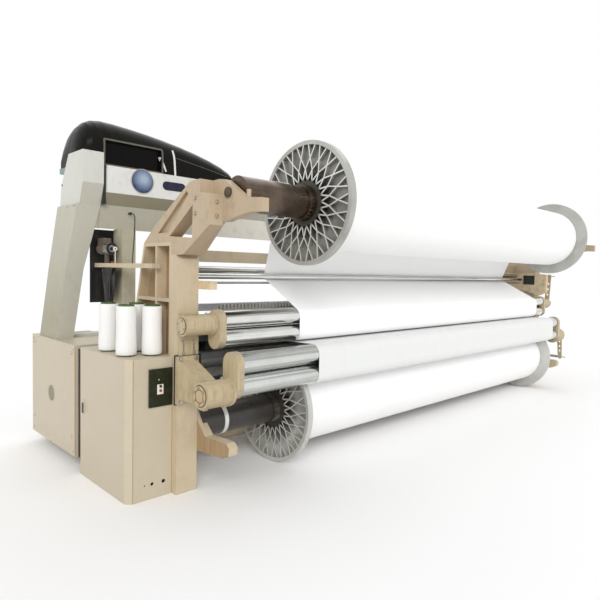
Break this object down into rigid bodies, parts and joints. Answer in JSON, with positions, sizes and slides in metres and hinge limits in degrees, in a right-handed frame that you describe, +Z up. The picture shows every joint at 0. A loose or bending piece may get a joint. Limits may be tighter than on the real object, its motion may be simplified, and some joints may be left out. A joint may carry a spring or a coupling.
{
  "type": "power loom",
  "caption": "Wide filament-weaving power loom seen with two flanged warp beams at the back, roller tension sets, guide rods, healds, sley and take-up in ribbed side frames.",
  "frame": {"origin": "centre of the four anchor holes, at floor level", "axes": "+X along the warp beams towards the plain side (the drive and cabinet side is -X), +Y towards the cloth side (warp beams at -Y), +Z up"},
  "size_m": [6.014, 2.4879, 2.4933],
  "materials": {
    "frame_paint": "satin beige machine enamel, dusty",
    "girder_paint": "satin off-white enamel",
    "hood_paint": "satin black",
    "case_paint": "fine-textured pale olive enamel",
    "chrome": "hard-chromed, polished",
    "steel": "oiled steel, browned with use",
    "black_barrel": "black paint, worn",
    "flange_aluminium": "cast and machined",
    "warp_yarn": "white filament yarn",
    "tube_plastic": "moulded",
    "grip_rubber": "fine-grained grip covering",
    "cloth": "plain white cloth, tightly wound",
    "green_panel": "satin green enamel",
    "black_plastic": "moulded",
    "red_plastic": "moulded",
    "cap_plastic": "plain moulded",
    "motor_paint": "grey enamel",
    "feeder_plastic": "moulded, dark grey",
    "drum_metal": "turned",
    "light_alloy": "extruded, anodised",
    "sley_paint": "dark grey enamel"
  },
  "bodies": {
    "upper_beam": {"upper_beam_barrel": "steel", "upper_beam_flanges": "flange_aluminium", "upper_yarn": "warp_yarn"},
    "lower_beam": {"lower_beam_barrel": "black_barrel", "lower_beam_flanges": "flange_aluminium", "lower_yarn": "warp_yarn"},
    "upper_swing": {"upper_swing_arms": "frame_paint", "upper_lever": "steel"},
    "lower_swing": {"lower_swing_arms": "frame_paint", "lower_lever": "steel"},
    "upper_roll_a": {"upper_roller_top": "chrome"},
    "upper_roll_b": {"upper_roller_bottom": "chrome"},
    "lower_roll_a": {"lower_roller_top": "chrome"},
    "lower_roll_b": {"lower_roller_bottom": "chrome"},
    "door": {"cabinet_door": "case_paint"},
    "start": {"start_button": "black_plastic"},
    "stop": {"stop_button": "red_plastic"},
    "drum": {"feeder_drum": "drum_metal"},
    "take_up": {"take_up_roller": "grip_rubber"},
    "press": {"press_roller": "chrome"},
    "cloth": {"cloth_roller": "chrome", "wound_cloth": "cloth"},
    "sley_body": {"sley": "sley_paint"},
    "rear_heald": {"rear_heald_frame": "light_alloy"},
    "front_heald": {"front_heald_frame": "light_alloy"},
    "machine": {"side_frame_near": "frame_paint", "side_frame_far": "frame_paint", "cross_members": "frame_paint", "upper_bracket_near": "frame_paint", "upper_bracket_far": "frame_paint", "lower_brackets": "frame_paint", "front_post_near": "frame_paint", "front_post_far": "frame_paint", "uprights": "frame_paint", "upper_housings": "frame_paint", "lower_housings": "frame_paint", "rod_brackets": "frame_paint", "breast_beam": "frame_paint", "shelf": "frame_paint", "upper_spring_anchor": "frame_paint", "lower_spring_anchor": "frame_paint", "top_girder": "girder_paint", "hood": "hood_paint", "control_cabinet": "case_paint", "drive_case": "case_paint", "guide_rods": "chrome", "lease_comb": "steel", "upper_spring": "steel", "lower_spring": "steel", "upper_warp_sheet": "warp_yarn", "lower_warp_sheet": "warp_yarn", "yarn_cones": "warp_yarn", "cone_tubes": "tube_plastic", "switch_panel": "green_panel", "hanging_cable": "black_plastic", "dark_trunking": "black_plastic", "round_cap": "cap_plastic", "blank_plate": "cap_plastic", "drive_motor": "motor_paint", "weft_feeder": "feeder_plastic"}
  },
  "joints": [
    {"name": "upper_beam_turn", "type": "hinge", "parent": "machine", "child": "upper_beam", "pos_m": [0, -1.206, 1.855], "axis": [1, 0, 0], "continuous": true},
    {"name": "lower_beam_turn", "type": "hinge", "parent": "machine", "child": "lower_beam", "pos_m": [0, -0.728, 0.405], "axis": [1, 0, 0], "continuous": true},
    {"name": "upper_tension_swing", "type": "hinge", "parent": "machine", "child": "upper_swing", "pos_m": [0, -0.905, 1.071], "axis": [1, 0, 0], "range_deg": [-3, 3], "stiffness_Nm_per_rad": 20000, "deforming": ["upper_spring", "upper_warp_sheet"]},
    {"name": "lower_tension_swing", "type": "hinge", "parent": "machine", "child": "lower_swing", "pos_m": [0, -1.085, 0.675], "axis": [1, 0, 0], "range_deg": [-3, 3], "stiffness_Nm_per_rad": 20000, "deforming": ["lower_spring", "lower_warp_sheet"]},
    {"name": "upper_roller_a_turn", "type": "hinge", "parent": "upper_swing", "child": "upper_roll_a", "pos_m": [0, -0.925, 1.1], "axis": [1, 0, 0], "continuous": true},
    {"name": "upper_roller_b_turn", "type": "hinge", "parent": "upper_swing", "child": "upper_roll_b", "pos_m": [0, -0.925, 0.98], "axis": [1, 0, 0], "continuous": true},
    {"name": "lower_roller_a_turn", "type": "hinge", "parent": "lower_swing", "child": "lower_roll_a", "pos_m": [0, -1.1, 0.843], "axis": [1, 0, 0], "continuous": true},
    {"name": "lower_roller_b_turn", "type": "hinge", "parent": "lower_swing", "child": "lower_roll_b", "pos_m": [0, -1.1, 0.704], "axis": [1, 0, 0], "continuous": true},
    {"name": "cabinet_door_hinge", "type": "hinge", "parent": "machine", "child": "door", "pos_m": [-2.999, -0.711, 0], "axis": [0, 0, 1], "range_deg": [0, 90]},
    {"name": "start_push", "type": "slide", "parent": "machine", "child": "start", "axis": [0, 1, 0], "range_m": [0, 0.004], "stiffness_N_per_m": 600},
    {"name": "stop_push", "type": "slide", "parent": "machine", "child": "stop", "axis": [0, 1, 0], "range_m": [0, 0.004], "stiffness_N_per_m": 600},
    {"name": "feeder_drum_turn", "type": "hinge", "parent": "machine", "child": "drum", "pos_m": [-2.738, 0, 1.55], "axis": [0, 1, 0], "continuous": true},
    {"name": "take_up_turn", "type": "hinge", "parent": "machine", "child": "take_up", "pos_m": [0, 0.655, 0.65], "axis": [1, 0, 0], "continuous": true},
    {"name": "press_turn", "type": "hinge", "parent": "machine", "child": "press", "pos_m": [0, 0.55449, 0.57962], "axis": [1, 0, 0], "continuous": true},
    {"name": "cloth_roll_turn", "type": "hinge", "parent": "machine", "child": "cloth", "pos_m": [0, 0.64, 0.33], "axis": [1, 0, 0], "continuous": true},
    {"name": "sley_swing", "type": "hinge", "parent": "machine", "child": "sley_body", "pos_m": [0, 0.38, 0.39], "axis": [1, 0, 0], "range_deg": [-5, 8]},
    {"name": "rear_heald_lift", "type": "slide", "parent": "machine", "child": "rear_heald", "axis": [0, 0, 1], "range_m": [-0.04, 0.04]},
    {"name": "front_heald_lift", "type": "slide", "parent": "machine", "child": "front_heald", "axis": [0, 0, 1], "range_m": [-0.04, 0.04]}
  ],
  "couplings": [
    {"joint": "press_turn", "follows": "take_up_turn", "ratio": -2},
    {"joint": "cloth_roll_turn", "follows": "take_up_turn", "ratio": 0.61538},
    {"joint": "front_heald_lift", "follows": "rear_heald_lift", "ratio": -1}
  ]
}
